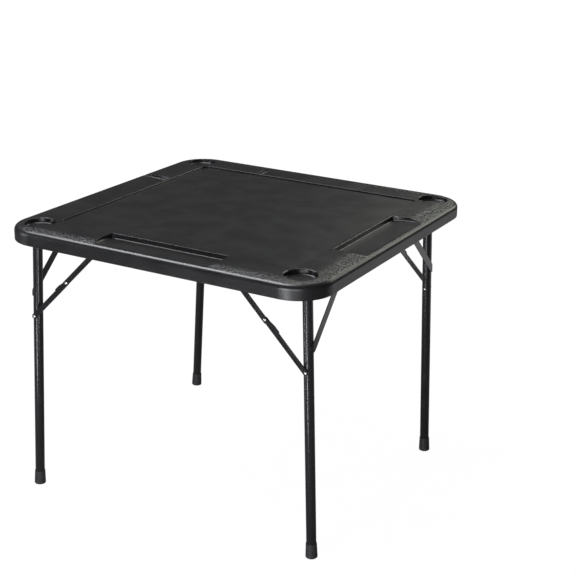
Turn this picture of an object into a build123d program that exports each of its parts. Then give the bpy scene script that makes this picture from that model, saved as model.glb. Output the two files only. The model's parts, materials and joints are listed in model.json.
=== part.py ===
from build123d import *
import math
import os

# A square folding card table: a blow-moulded top with a sunk playing field, four counter
# trays and four cup wells, on two tubular steel leg frames that fold under it.
# Millimetres, +Z up. The origin is on the floor under the middle of the top. X runs
# from the left leg frame to the right one, and Y runs along both, from front to back.

# Tabletop, outside
TOP_SIDE = 864.0
HALF_TOP = TOP_SIDE / 2
TABLE_HEIGHT = 711.0
APRON_HEIGHT = 40.0
CORNER_RADIUS = 88.0
CROWN_WIDTH = 60.0
CROWN_DROP = 4.5
EDGE_RADIUS = 12.0
APRON_THICKNESS = 11.0
APRON_FOOT_RADIUS = 2.0
BAND_THICKNESS = 14.0

# Playing field
FIELD_MARGIN = 102.0
FIELD_SIDE = TOP_SIDE - 2 * FIELD_MARGIN
FIELD_DEPTH = 4.0
FIELD_CORNER_RADIUS = 20.0
FIELD_WALL = 6.0
FIELD_EDGE_ROUND = 1.2

# Counter trays
TRAY_LENGTH = 324.0
TRAY_MARGIN = 93.0
TRAY_INNER_OFFSET = HALF_TOP - TRAY_MARGIN
TRAY_DEPTH = 11.0
TRAY_FLOOR_RISE = 7.0
TRAY_END_BULGE = 11.0
TRAY_END_DRAW = 15.0
TRAY_DRAFT_ANGLE = 9.0
TRAY_FLOOR_ROUND = 2.0
TRAY_EDGE_ROUND = 1.0

# Cup wells
CUP_MARGIN = 70.0
CUP_OFFSET = HALF_TOP - CUP_MARGIN
CUP_RADIUS = 38.0
CUP_DEPTH = 12.0
CUP_DRAW = 1.5
CUP_FLOOR_ROUND = 3.5
CUP_RIM_ROUND = 2.5

# Lower wall of the moulding, with its tack-off pockets and fluted lining
SHEET_THICKNESS = 1.5
LINING_THICKNESS = 4.0
LINING_GAP = 0.1
FLUTE_RADIUS = 5.0
FLUTE_DEPTH = 2.4
POCKET_PITCH = 37.8
POCKET_LENGTH = 31.0
POCKET_WIDTH = 9.0
POCKET_DEPTH = 5.5
POCKET_DRAFT_ANGLE = 8.0
RIM_SLOT_OFFSET = 34.0
RIM_SLOT_STEP = 8.0

# Leg frames
TUBE_DIAMETER = 24.0
TUBE_WALL = 1.2
PIVOT_MARGIN = 70.0
PIVOT_X = HALF_TOP - PIVOT_MARGIN
PIVOT_DROP = 15.5
SPLAY_ANGLE = 2.5
WIDE_FRAME_MARGIN = 58.4
WIDE_FRAME_LEG_Y = HALF_TOP - WIDE_FRAME_MARGIN
NARROW_FRAME_MARGIN = 101.4
NARROW_FRAME_LEG_Y = HALF_TOP - NARROW_FRAME_MARGIN
CROSSBAR_MARGIN = 39.0
CROSSBAR_LENGTH = TOP_SIDE - 2 * CROSSBAR_MARGIN
GUSSET_DOWN = 150.0
GUSSET_ALONG = 155.0
GUSSET_WIDTH = 20.0
GUSSET_THICKNESS = 2.0
GUSSET_LIFT = 0.5
GUSSET_GRIP = 6.0
CAP_RADIUS = 14.5
CAP_TOP_RADIUS = 13.2
CAP_HEIGHT = 37.0
CAP_BASE = 6.0
CAP_EDGE_ROUND = 2.0

# Folding braces
BRACE_ON_LEG = 207.0
BRACE_ON_TOP = 194.0
LINK_WIDTH = 13.0
LINK_THICKNESS = 2.5
LINK_GAP = 0.3
LINK_GROOVE_WIDTH = 4.0
LINK_GROOVE_DEPTH = 0.8
LINK_GROOVE_MARGIN = 16.0
KNEE_OVERHANG = 9.0
KNEE_CHAMFER = 3.0
HUMP_START = 9.0
HUMP_END = 42.0
HUMP_HEIGHT = 2.8
SPACER_THICKNESS = 2.0
SPACER_RADIUS = 6.0

# Rivets
RIVET_RADIUS = 3.0
RIVET_HEAD_RADIUS = 4.5
RIVET_HEAD_HEIGHT = 2.2
RIVET_TAIL_HEIGHT = 1.4
RIVET_SKIRT = 1.5

# Pivot brackets and pins at the ends of the crossbars
BRACKET_THICKNESS = 2.0
BRACKET_SCREW_REACH = 19.0
BRACKET_SCREW_X = PIVOT_X - BRACKET_SCREW_REACH
BRACKET_SCREW_STEP = 11.0
BRACKET_SCREW_Y = CROSSBAR_LENGTH / 2 + BRACKET_SCREW_STEP
BRACKET_FOOT_RADIUS = 9.0
BRACKET_EAR_RADIUS = 10.0
PIN_RADIUS = 5.0
PIN_FLANGE = 2.0
PIN_PLUG_LENGTH = 15.0
PIN_HEAD_RADIUS = 6.5
PIN_HEAD_HEIGHT = 1.5

# Centre bar and the two straps that hold the crossbars under it
BAR_WIDTH = 18.0
BAR_DEPTH = 9.0
STRIP_THICKNESS = 1.5
BAR_TONGUE_LENGTH = 25.0
BAR_TONGUE_WIDTH = 16.0
STRAP_WIDTH = 16.0
STRAP_TAB_LENGTH = 12.0

# Brace brackets under the top
EAR_RADIUS = 7.5
EAR_FOOT_LENGTH = 44.0
EAR_FLANGE_WIDTH = 10.0
EAR_SCREW_SPACING = 30.0

# Screws
SCREW_RADIUS = 2.0
SCREW_HEAD_RADIUS = 4.5
SCREW_HEAD_HEIGHT = 2.6
SCREW_BITE = 3.0
SMALL_SCREW_RADIUS = 1.6
SMALL_SCREW_HEAD_RADIUS = 3.4
SMALL_SCREW_HEAD_HEIGHT = 1.8

# Fits
RUNNING_FIT = 0.06
STRAP_FIT = 0.09
HOLE_FIT = 0.05
PLUG_FIT = 0.1
FREE_GAP = 0.3
OVERRUN = 20.0

# Levels and places that follow from the sizes above
APRON_FOOT_Z = TABLE_HEIGHT - APRON_HEIGHT
BAND_UNDER_Z = TABLE_HEIGHT - BAND_THICKNESS
FIELD_UNDER_Z = TABLE_HEIGHT - FIELD_DEPTH - FIELD_WALL
RECESS_Z = BAND_UNDER_Z - SHEET_THICKNESS
PIVOT_Z = RECESS_Z - PIVOT_DROP
TUBE_RADIUS = TUBE_DIAMETER / 2
SPLAY = math.radians(SPLAY_ANGLE)
LEG_REACH = PIVOT_Z / math.cos(SPLAY)

# The brace pivots in the XZ plane of the right frame: on the leg, under the top, and the
# knee between them, which lies on the line at rest and folds flat along the leg.
LEG_RIVET_X = PIVOT_X + BRACE_ON_LEG * math.sin(SPLAY)
LEG_RIVET_Z = PIVOT_Z - BRACE_ON_LEG * math.cos(SPLAY)
TOP_RIVET_X = PIVOT_X - BRACE_ON_TOP
TOP_RIVET_Z = PIVOT_Z
BRACE_SPAN = math.hypot(LEG_RIVET_X - TOP_RIVET_X, TOP_RIVET_Z - LEG_RIVET_Z)
LOWER_LINK = (BRACE_SPAN + BRACE_ON_LEG - BRACE_ON_TOP) / 2
UPPER_LINK = BRACE_SPAN - LOWER_LINK
BRACE_DX = (TOP_RIVET_X - LEG_RIVET_X) / BRACE_SPAN
BRACE_DZ = (TOP_RIVET_Z - LEG_RIVET_Z) / BRACE_SPAN
KNEE_X = LEG_RIVET_X + LOWER_LINK * BRACE_DX
KNEE_Z = LEG_RIVET_Z + LOWER_LINK * BRACE_DZ

# How far each layer of a brace stands out from the leg's axis
SPACER_FACE = TUBE_RADIUS + SPACER_THICKNESS
LOWER_FACE = SPACER_FACE + LINK_GAP
LOWER_OUTER = LOWER_FACE + LINK_THICKNESS
UPPER_FACE = LOWER_OUTER + LINK_GAP
UPPER_OUTER = UPPER_FACE + LINK_THICKNESS
EAR_FACE = UPPER_OUTER + LINK_GAP
EAR_OUTER = EAR_FACE + BRACKET_THICKNESS

# How far along Y the end of a crossbar and its bracket lie
TUBE_END_Y = CROSSBAR_LENGTH / 2
PIN_FLANGE_Y = TUBE_END_Y + PIN_FLANGE
BRACKET_Y = PIN_FLANGE_Y + FREE_GAP
BRACKET_OUTER_Y = BRACKET_Y + BRACKET_THICKNESS


def rounded_square(half, radius):
    """A square face in XY with round corners."""
    return RectangleRounded(2 * half, 2 * half, radius)


def edge_ring(section):
    """Carry a section round the top's outer edge; its X is the distance in from the edge."""
    straight_run = TOP_SIDE - 2 * CORNER_RADIUS
    run = Plane(origin=(HALF_TOP, -straight_run / 2, 0), x_dir=(-1, 0, 0), z_dir=(0, 1, 0))
    side = extrude(run * section, straight_run)
    turn = Plane(origin=(CORNER_RADIUS, 0, 0), x_dir=(-1, 0, 0), z_dir=(0, 1, 0))
    corner_axis = Axis((0, 0, 0), (0, 0, 1))
    corner = revolve(turn * section, corner_axis, 90)
    centre = HALF_TOP - CORNER_RADIUS
    corner = Pos(centre, centre, 0) * corner
    ring = None
    for turn_angle in (0, 90, 180, 270):
        quarter = Rot(0, 0, turn_angle) * side + Rot(0, 0, turn_angle) * corner
        ring = quarter if ring is None else ring + quarter
    return ring


def crown_section():
    """Half section of the top's edge: apron, rounded shoulder, and a long shallow crown."""
    reach = CROWN_WIDTH - EDGE_RADIUS
    for _ in range(8):
        slope = 2 * math.atan(CROWN_DROP / reach)
        reach = CROWN_WIDTH - EDGE_RADIUS * (1 - math.sin(slope))
    crown_radius = reach / math.sin(slope)
    shoulder_x = CROWN_WIDTH - reach
    shoulder_z = TABLE_HEIGHT - CROWN_DROP
    wall_z = shoulder_z - EDGE_RADIUS * math.cos(slope)
    half_slope = slope / 2
    crown_mid = (CROWN_WIDTH - crown_radius * math.sin(half_slope),
                 TABLE_HEIGHT - crown_radius * (1 - math.cos(half_slope)))
    edge_turn = (math.pi / 2 + slope) / 2
    edge_mid = (EDGE_RADIUS * (1 - math.sin(edge_turn)),
                wall_z + EDGE_RADIUS * math.cos(edge_turn))
    foot = APRON_FOOT_RADIUS
    foot_mid = foot * (1 - math.sqrt(1 / 2))
    outline = [
        Line((0, APRON_FOOT_Z + foot), (0, wall_z)),
        ThreePointArc((0, wall_z), edge_mid, (shoulder_x, shoulder_z)),
        ThreePointArc((shoulder_x, shoulder_z), crown_mid, (CROWN_WIDTH, TABLE_HEIGHT)),
        Line((CROWN_WIDTH, TABLE_HEIGHT), (CROWN_WIDTH, BAND_UNDER_Z)),
        Line((CROWN_WIDTH, BAND_UNDER_Z), (APRON_THICKNESS, BAND_UNDER_Z)),
        Line((APRON_THICKNESS, BAND_UNDER_Z), (APRON_THICKNESS, APRON_FOOT_Z)),
        Line((APRON_THICKNESS, APRON_FOOT_Z), (foot, APRON_FOOT_Z)),
        ThreePointArc((foot, APRON_FOOT_Z), (foot_mid, APRON_FOOT_Z + foot_mid), (0, APRON_FOOT_Z + foot)),
    ]
    return make_face(outline)


def tray_cutter():
    """The space of the front tray: straight inner wall, bulging ends, floor rising to the edge."""
    floor_z = TABLE_HEIGHT - TRAY_DEPTH
    draw = TRAY_DEPTH * math.tan(math.radians(TRAY_DRAFT_ANGLE))
    half = TRAY_LENGTH / 2 - draw
    inner_y = TRAY_INNER_OFFSET + draw
    outer_y = HALF_TOP + OVERRUN
    outer_half = half - TRAY_END_DRAW * (outer_y - inner_y) / (HALF_TOP - inner_y)
    mid_half = (half + outer_half) / 2 + TRAY_END_BULGE
    mid_y = (inner_y + outer_y) / 2
    outline = [
        Line((-half, -inner_y), (half, -inner_y)),
        ThreePointArc((half, -inner_y), (mid_half, -mid_y), (outer_half, -outer_y)),
        Line((outer_half, -outer_y), (-outer_half, -outer_y)),
        ThreePointArc((-outer_half, -outer_y), (-mid_half, -mid_y), (-half, -inner_y)),
    ]
    space = extrude(make_face(outline), TRAY_DEPTH + OVERRUN, taper=-TRAY_DRAFT_ANGLE)
    floor_edges = space.edges().group_by(Axis.Z)[0].sort_by(Axis.Y)[1:]
    space = fillet(floor_edges, TRAY_FLOOR_ROUND)
    rise = math.degrees(math.atan(TRAY_FLOOR_RISE / (HALF_TOP - inner_y)))
    space = Pos(0, inner_y, 0) * space
    return Pos(0, -inner_y, floor_z) * Rot(-rise, 0, 0) * space


def cup_cutter():
    """The space of a cup well: drawn wall, rounded floor, and a rim that rolls over."""
    floor_z = TABLE_HEIGHT - CUP_DEPTH
    floor_radius = CUP_RADIUS - CUP_DRAW
    rim_radius = CUP_RADIUS + CUP_RIM_ROUND
    rim_z = TABLE_HEIGHT - CUP_RIM_ROUND
    top_z = TABLE_HEIGHT + OVERRUN
    arc_share = math.sqrt(1 / 2)
    floor_sag = CUP_FLOOR_ROUND * (1 - arc_share)
    outline = [
        Line((0, floor_z), (floor_radius - CUP_FLOOR_ROUND, floor_z)),
        ThreePointArc((floor_radius - CUP_FLOOR_ROUND, floor_z),
                      (floor_radius - floor_sag, floor_z + floor_sag),
                      (floor_radius, floor_z + CUP_FLOOR_ROUND)),
        Line((floor_radius, floor_z + CUP_FLOOR_ROUND), (CUP_RADIUS, rim_z)),
        ThreePointArc((CUP_RADIUS, rim_z),
                      (CUP_RADIUS + CUP_RIM_ROUND * (1 - arc_share), rim_z + CUP_RIM_ROUND * arc_share),
                      (rim_radius, TABLE_HEIGHT)),
        Line((rim_radius, TABLE_HEIGHT), (rim_radius, top_z)),
        Line((rim_radius, top_z), (0, top_z)),
        Line((0, top_z), (0, floor_z)),
    ]
    return revolve(Plane.XZ * make_face(outline), Axis.Z, 360)


def screw_places():
    """Where the large screws stand: four at the pivot brackets, two at the centre bar."""
    corners = [(sx * BRACKET_SCREW_X, sy * BRACKET_SCREW_Y) for sx in (-1, 1) for sy in (-1, 1)]
    middles = [(sx * BRACKET_SCREW_X, 0) for sx in (-1, 1)]
    return corners, middles


def small_screw_places():
    """Where the small screws stand: two in the flange of each brace bracket."""
    places = []
    for sx, leg_y in ((-1, WIDE_FRAME_LEG_Y), (1, NARROW_FRAME_LEG_Y)):
        screw_y = leg_y + EAR_OUTER + EAR_FLANGE_WIDTH / 2
        for sy in (-1, 1):
            for step in (-1, 1):
                places.append((sx * (TOP_RIVET_X + step * EAR_SCREW_SPACING / 2), sy * screw_y))
    return places


def pilot_holes():
    """The holes that the screws cut upwards into the moulding."""
    corners, middles = screw_places()
    depth = OVERRUN + SCREW_BITE + FREE_GAP
    holes = []
    for x, y in corners + middles:
        holes.append(Pos(x, y, RECESS_Z - OVERRUN) * extrude(Circle(SCREW_RADIUS + HOLE_FIT), depth))
    for x, y in small_screw_places():
        holes.append(Pos(x, y, RECESS_Z - OVERRUN) * extrude(Circle(SMALL_SCREW_RADIUS + HOLE_FIT), depth))
    return holes


def upper_skin():
    """Outer wall of the moulding: crowned band, apron, sunk field, trays and cup wells."""
    inner_half = HALF_TOP - CROWN_WIDTH
    middle = extrude(rounded_square(inner_half, CORNER_RADIUS - CROWN_WIDTH), BAND_THICKNESS)
    body = edge_ring(crown_section()) + Pos(0, 0, BAND_UNDER_Z) * middle
    field = extrude(rounded_square(FIELD_SIDE / 2, FIELD_CORNER_RADIUS), FIELD_DEPTH + OVERRUN)
    body -= Pos(0, 0, TABLE_HEIGHT - FIELD_DEPTH) * field
    hollow_height = FIELD_UNDER_Z - BAND_UNDER_Z + OVERRUN
    hollow = extrude(rounded_square(FIELD_SIDE / 2, FIELD_CORNER_RADIUS), hollow_height)
    body -= Pos(0, 0, BAND_UNDER_Z - OVERRUN) * hollow
    for turn_angle in (0, 90, 180, 270):
        body -= Rot(0, 0, turn_angle) * tray_cutter()
        body -= Rot(0, 0, turn_angle) * (Pos(CUP_OFFSET, CUP_OFFSET, 0) * cup_cutter())
    for hole in pilot_holes():
        body -= hole
    field_rim = [edge for edge in body.edges().filter_by(GeomType.LINE) if is_field_edge(edge)]
    body = fillet(field_rim, FIELD_EDGE_ROUND)
    tray_rim = [edge for edge in body.edges() if is_tray_edge(edge)]
    return fillet(tray_rim, TRAY_EDGE_ROUND)


def is_field_edge(edge):
    """The straight top edges round the playing field."""
    centre = edge.center()
    reach = max(abs(centre.X), abs(centre.Y))
    level = abs(centre.Z - TABLE_HEIGHT) < HOLE_FIT
    return level and abs(reach - FIELD_SIDE / 2) < HOLE_FIT


def is_tray_edge(edge):
    """The straight top edge of each tray's inner wall."""
    centre = edge.center()
    reach = max(abs(centre.X), abs(centre.Y))
    level = abs(centre.Z - TABLE_HEIGHT) < HOLE_FIT
    return level and abs(reach - TRAY_INNER_OFFSET) < 2 * TRAY_EDGE_ROUND


def lining_section():
    """Half section of the lower wall: a lining inside the apron and a thin sheet."""
    outer = APRON_THICKNESS + LINING_GAP
    inner = outer + LINING_THICKNESS
    outline = Polyline(
        (outer, APRON_FOOT_Z),
        (outer, BAND_UNDER_Z),
        (CROWN_WIDTH, BAND_UNDER_Z),
        (CROWN_WIDTH, RECESS_Z),
        (inner, RECESS_Z),
        (inner, APRON_FOOT_Z),
        close=True,
    )
    return make_face(outline)


def tack_pocket():
    """The space of one tack-off pocket, long in X, drawn in towards its roof."""
    mouth = Rectangle(POCKET_LENGTH, POCKET_WIDTH)
    return extrude(mouth, POCKET_DEPTH, taper=POCKET_DRAFT_ANGLE)


def field_pockets():
    """Tack-off pockets under the playing field, laid crosswise by turns like a basket weave."""
    lying = tack_pocket()
    standing = Rot(0, 0, 90) * lying
    columns = int((FIELD_SIDE / 2 - POCKET_LENGTH / 2) / POCKET_PITCH)
    pockets = []
    for i in range(-columns, columns + 1):
        for j in range(-columns, columns + 1):
            shape = lying if (i + j) % 2 == 0 else standing
            pockets.append(Pos(i * POCKET_PITCH, j * POCKET_PITCH, RECESS_Z) * shape)
    return pockets


def rim_slots():
    """A row of tack-off slots by turns along the left and right sides, outside the leg frames."""
    lying = Rectangle(POCKET_LENGTH / 2, POCKET_WIDTH)
    rows = int((HALF_TOP - CORNER_RADIUS - POCKET_LENGTH) / POCKET_PITCH)
    slots = []
    for side in (-1, 1):
        for j in range(-rows, rows + 1):
            inward = RIM_SLOT_STEP if j % 2 == 0 else -RIM_SLOT_STEP
            face = lying if j % 2 == 0 else Rot(0, 0, 90) * lying
            x = side * (HALF_TOP - RIM_SLOT_OFFSET - inward)
            slots.append(Pos(x, j * POCKET_PITCH, RECESS_Z) * extrude(face, SHEET_THICKNESS))
    return slots


def lining_flutes():
    """Upright flutes in the lining at the pitch of the pockets, as round grooves."""
    inner_half = HALF_TOP - APRON_THICKNESS - LINING_GAP - LINING_THICKNESS
    centre = inner_half - FLUTE_RADIUS + FLUTE_DEPTH
    count = int((HALF_TOP - CORNER_RADIUS - FLUTE_RADIUS) / POCKET_PITCH)
    flute = extrude(Circle(FLUTE_RADIUS), RECESS_Z - APRON_FOOT_Z + OVERRUN)
    flutes = []
    for turn_angle in (0, 90, 180, 270):
        for j in range(-count, count + 1):
            place = Pos(centre, j * POCKET_PITCH, APRON_FOOT_Z - OVERRUN)
            flutes.append(Rot(0, 0, turn_angle) * (place * flute))
    return flutes


def lower_skin():
    """Inner wall of the moulding: sheet, pocketed field block and fluted apron lining."""
    inner_half = HALF_TOP - CROWN_WIDTH
    sheet = extrude(rounded_square(inner_half, CORNER_RADIUS - CROWN_WIDTH), SHEET_THICKNESS)
    block_half = FIELD_SIDE / 2 - LINING_GAP
    block = extrude(rounded_square(block_half, FIELD_CORNER_RADIUS), FIELD_UNDER_Z - BAND_UNDER_Z)
    body = edge_ring(lining_section())
    body += Pos(0, 0, RECESS_Z) * sheet
    body += Pos(0, 0, BAND_UNDER_Z) * block
    return body.cut(*field_pockets(), *rim_slots(), *lining_flutes(), *pilot_holes())


def turned(outline, base, direction):
    """Turn a closed outline of (radius, height) pairs round the line from base along direction."""
    plane = Plane(origin=base, z_dir=direction)
    section = Plane.XZ * make_face(Polyline(*outline, close=True))
    return plane.location * revolve(section, Axis.Z, 360)


def dome(radius, height, base, direction):
    """A domed rivet or screw head whose flat side stands at base."""
    ball = (radius * radius + height * height) / (2 * height)
    half_angle = math.asin(min(radius / ball, 1)) / 2
    mid = (ball * math.sin(half_angle), height - ball * (1 - math.cos(half_angle)))
    outline = [
        Line((0, 0), (radius, 0)),
        ThreePointArc((radius, 0), mid, (0, height)),
        Line((0, height), (0, 0)),
    ]
    plane = Plane(origin=base, z_dir=direction)
    return plane.location * revolve(Plane.XZ * make_face(outline), Axis.Z, 360)


def rod(radius, start, end):
    """A round rod from start to end."""
    line = Vector(*end) - Vector(*start)
    plane = Plane(origin=start, z_dir=line)
    return plane.location * extrude(Circle(radius), line.length)


def in_frame(shape):
    """Swing a piece of the right leg frame out by the splay and hang it on its pivot."""
    return Pos(PIVOT_X, 0, PIVOT_Z) * Rot(0, -SPLAY_ANGLE, 0) * shape


def to_side(shape, side):
    """Keep a piece on the right side, or mirror it to the left."""
    return shape if side > 0 else mirror(shape, about=Plane.YZ)


def to_row(shape, row):
    """Keep a piece at the back, or mirror it to the front."""
    return shape if row > 0 else mirror(shape, about=Plane.XZ)


def crossbar():
    """The tube that carries both legs of a frame, open at the ends for its pivot pins."""
    start = (0, -TUBE_END_Y, 0)
    end = (0, TUBE_END_Y, 0)
    return in_frame(rod(TUBE_RADIUS, start, end) - rod(TUBE_RADIUS - TUBE_WALL, start, end))


def leg_tube(leg_y):
    """A back leg, coped to the crossbar and drilled across for the brace rivet."""
    top = (0, leg_y, 0)
    foot = (0, leg_y, -(LEG_REACH - CAP_BASE))
    tube = rod(TUBE_RADIUS, top, foot) - rod(TUBE_RADIUS - TUBE_WALL, top, foot)
    cope = rod(TUBE_RADIUS, (0, leg_y - OVERRUN, 0), (0, leg_y + OVERRUN, 0))
    drill = rod(RIVET_RADIUS + HOLE_FIT, (0, leg_y - OVERRUN, -BRACE_ON_LEG),
                (0, leg_y + OVERRUN, -BRACE_ON_LEG))
    return in_frame(tube - cope - drill)


def foot_cap(leg_y):
    """A tapered foot cap pushed over the end of a back leg and standing flat."""
    sole = LEG_REACH + CAP_RADIUS * math.sin(SPLAY)
    outline = [
        (0, -sole),
        (CAP_RADIUS - CAP_EDGE_ROUND, -sole),
        (CAP_RADIUS, -sole + CAP_EDGE_ROUND),
        (CAP_RADIUS, -sole + CAP_BASE),
        (CAP_TOP_RADIUS, -LEG_REACH + CAP_HEIGHT),
        (0, -LEG_REACH + CAP_HEIGHT),
    ]
    cap = turned(outline, (0, leg_y, 0), (0, 0, 1))
    socket = rod(TUBE_RADIUS + HOLE_FIT, (0, leg_y, -(LEG_REACH - CAP_BASE)), (0, leg_y, 0))
    cap = in_frame(cap - socket)
    ground = Pos(PIVOT_X, leg_y, -OVERRUN) * Box(TOP_SIDE, TOP_SIDE, 2 * OVERRUN)
    return cap - ground


def gusset(leg_y):
    """A flat strip across the corner of leg and crossbar, its ends wrapped round the tubes."""
    inner_x = TUBE_RADIUS + GUSSET_LIFT
    outer_x = inner_x + GUSSET_THICKNESS
    run = math.hypot(GUSSET_ALONG, GUSSET_DOWN)
    lean = math.degrees(math.atan2(GUSSET_DOWN, -GUSSET_ALONG))
    outline = SlotCenterToCenter(run, GUSSET_WIDTH)
    middle = Pos(leg_y - GUSSET_ALONG / 2, -GUSSET_DOWN / 2)
    outline = Plane.YZ * middle * Rot(0, 0, lean) * outline
    bar = extrude(outline, outer_x)
    strip_space = Pos((inner_x + outer_x) / 2, leg_y - TOP_SIDE / 2, -TOP_SIDE / 2)
    strip = bar & strip_space * Box(GUSSET_THICKNESS, TOP_SIDE, TOP_SIDE)
    leg_wrap = rod(outer_x, (0, leg_y, OVERRUN), (0, leg_y, -TOP_SIDE))
    leg_wrap -= rod(TUBE_RADIUS, (0, leg_y, OVERRUN), (0, leg_y, -TOP_SIDE))
    bar_wrap = rod(outer_x, (0, 0, 0), (0, leg_y, 0)) - rod(TUBE_RADIUS, (0, 0, 0), (0, leg_y, 0))
    beyond_leg = Pos(GUSSET_GRIP + TOP_SIDE / 2, leg_y + TOP_SIDE / 2, -TOP_SIDE / 2)
    beyond_bar = Pos(GUSSET_GRIP + TOP_SIDE / 2, 0, TOP_SIDE / 2)
    leg_wrap &= beyond_leg * Box(TOP_SIDE, TOP_SIDE, TOP_SIDE)
    bar_wrap &= beyond_bar * Box(TOP_SIDE, TOP_SIDE * 2, TOP_SIDE)
    return in_frame(strip + (bar & leg_wrap) + (bar & bar_wrap))


def leg_rivet(leg_y):
    """The rivet through a back leg, its spacer and the lower link."""
    z = -BRACE_ON_LEG
    inner_y = leg_y - TUBE_RADIUS
    outer_y = leg_y + LOWER_OUTER + STRAP_FIT
    shank = rod(RIVET_RADIUS, (0, inner_y, z), (0, outer_y, z))
    skirt = rod(RIVET_HEAD_RADIUS, (0, inner_y, z), (0, inner_y + RIVET_SKIRT, z))
    skirt -= rod(TUBE_RADIUS, (0, leg_y, 0), (0, leg_y, 2 * z))
    heads = dome(RIVET_HEAD_RADIUS, RIVET_HEAD_HEIGHT, (0, inner_y, z), (0, -1, 0))
    heads += dome(RIVET_HEAD_RADIUS, RIVET_HEAD_HEIGHT, (0, outer_y, z), (0, 1, 0))
    return in_frame(shank + skirt + heads)


def spacer(leg_y):
    """The washer between a back leg and its lower link, saddled to the tube."""
    z = -BRACE_ON_LEG
    start = (0, leg_y + TUBE_RADIUS - RIVET_SKIRT, z)
    end = (0, leg_y + SPACER_FACE, z)
    ring = rod(SPACER_RADIUS, start, end) - rod(RIVET_RADIUS + HOLE_FIT, start, end)
    ring -= rod(TUBE_RADIUS, (0, leg_y, 0), (0, leg_y, 2 * z))
    return in_frame(ring)


def pivot_pin():
    """A plug in the back end of a crossbar, with the stub that turns in the bracket's ear."""
    bore = TUBE_RADIUS - TUBE_WALL - PLUG_FIT
    head_y = BRACKET_OUTER_Y + FREE_GAP
    pin = rod(bore, (0, TUBE_END_Y - PIN_PLUG_LENGTH, 0), (0, TUBE_END_Y, 0))
    pin += rod(TUBE_RADIUS, (0, TUBE_END_Y, 0), (0, PIN_FLANGE_Y, 0))
    pin += rod(PIN_RADIUS, (0, PIN_FLANGE_Y, 0), (0, head_y, 0))
    pin += rod(PIN_HEAD_RADIUS, (0, head_y, 0), (0, head_y + PIN_HEAD_HEIGHT, 0))
    return in_frame(pin)


def link_plane(face, leg_y, start_x, start_z, towards):
    """A plane on the inner face of a back link, X along the brace and Y up and outward."""
    return Plane(origin=(start_x, leg_y + face, start_z),
                 x_dir=(towards * BRACE_DX, 0, towards * BRACE_DZ), z_dir=(0, 1, 0))


def link_groove(start, end):
    """The pressed groove down the middle of a link's outer face, in the link's own plane."""
    length = end - start
    groove = Pos((start + end) / 2, 0) * SlotOverall(length, LINK_GROOVE_WIDTH)
    return Pos(0, 0, LINK_THICKNESS - LINK_GROOVE_DEPTH) * extrude(groove, LINK_THICKNESS)


def lower_link(leg_y):
    """The link from a back leg to the knee, with the hump of its stop lip."""
    half = LINK_WIDTH / 2
    hump_start = LOWER_LINK - HUMP_START
    hump_end = LOWER_LINK - HUMP_END
    hump_top = half + HUMP_HEIGHT
    crest = (hump_start + hump_end) / 2
    outline = [
        ThreePointArc((0, half), (-half, 0), (0, -half)),
        Line((0, -half), (LOWER_LINK, -half)),
        ThreePointArc((LOWER_LINK, -half), (LOWER_LINK + half, 0), (LOWER_LINK, half)),
        Line((LOWER_LINK, half), (hump_start, half)),
        Line((hump_start, half), (crest, hump_top)),
        Line((crest, hump_top), (hump_end, hump_top)),
        Line((hump_end, hump_top), (hump_end - HUMP_HEIGHT, half)),
        Line((hump_end - HUMP_HEIGHT, half), (0, half)),
    ]
    link = extrude(make_face(outline), LINK_THICKNESS)
    link -= Pos(0, 0, -OVERRUN) * extrude(Circle(RIVET_RADIUS + RUNNING_FIT), 2 * OVERRUN)
    link -= Pos(LOWER_LINK, 0, -OVERRUN) * extrude(Circle(RIVET_RADIUS + HOLE_FIT), 2 * OVERRUN)
    link -= link_groove(LINK_GROOVE_MARGIN, LOWER_LINK - LINK_GROOVE_MARGIN)
    return link_plane(LOWER_FACE, leg_y, LEG_RIVET_X, LEG_RIVET_Z, 1).location * link


def upper_link(leg_y):
    """The link from the knee to the bracket under the top, running on past the knee."""
    half = LINK_WIDTH / 2
    tip = UPPER_LINK + KNEE_OVERHANG
    outline = [
        ThreePointArc((0, half), (-half, 0), (0, -half)),
        Line((0, -half), (tip - KNEE_CHAMFER, -half)),
        Line((tip - KNEE_CHAMFER, -half), (tip, -half + KNEE_CHAMFER)),
        Line((tip, -half + KNEE_CHAMFER), (tip, half - KNEE_CHAMFER)),
        Line((tip, half - KNEE_CHAMFER), (tip - KNEE_CHAMFER, half)),
        Line((tip - KNEE_CHAMFER, half), (0, half)),
    ]
    link = extrude(make_face(outline), LINK_THICKNESS)
    link -= Pos(0, 0, -OVERRUN) * extrude(Circle(RIVET_RADIUS + RUNNING_FIT), 2 * OVERRUN)
    link -= Pos(UPPER_LINK, 0, -OVERRUN) * extrude(Circle(RIVET_RADIUS + HOLE_FIT), 2 * OVERRUN)
    link -= link_groove(LINK_GROOVE_MARGIN, UPPER_LINK - LINK_GROOVE_MARGIN)
    return link_plane(UPPER_FACE, leg_y, TOP_RIVET_X, TOP_RIVET_Z, -1).location * link


def knee_rivet(leg_y):
    """The headed half of the knee rivet, fast in the upper link."""
    face = (KNEE_X, leg_y + UPPER_OUTER, KNEE_Z)
    shank = rod(RIVET_RADIUS, (KNEE_X, leg_y + UPPER_FACE, KNEE_Z), face)
    return shank + dome(RIVET_HEAD_RADIUS, RIVET_HEAD_HEIGHT, face, (0, 1, 0))


def knee_tail(leg_y):
    """The low tail of the knee rivet, fast in the lower link."""
    face = (KNEE_X, leg_y + LOWER_FACE, KNEE_Z)
    shank = rod(RIVET_RADIUS, face, (KNEE_X, leg_y + LOWER_OUTER, KNEE_Z))
    return shank + dome(RIVET_HEAD_RADIUS, RIVET_TAIL_HEIGHT, face, (0, -1, 0))


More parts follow.
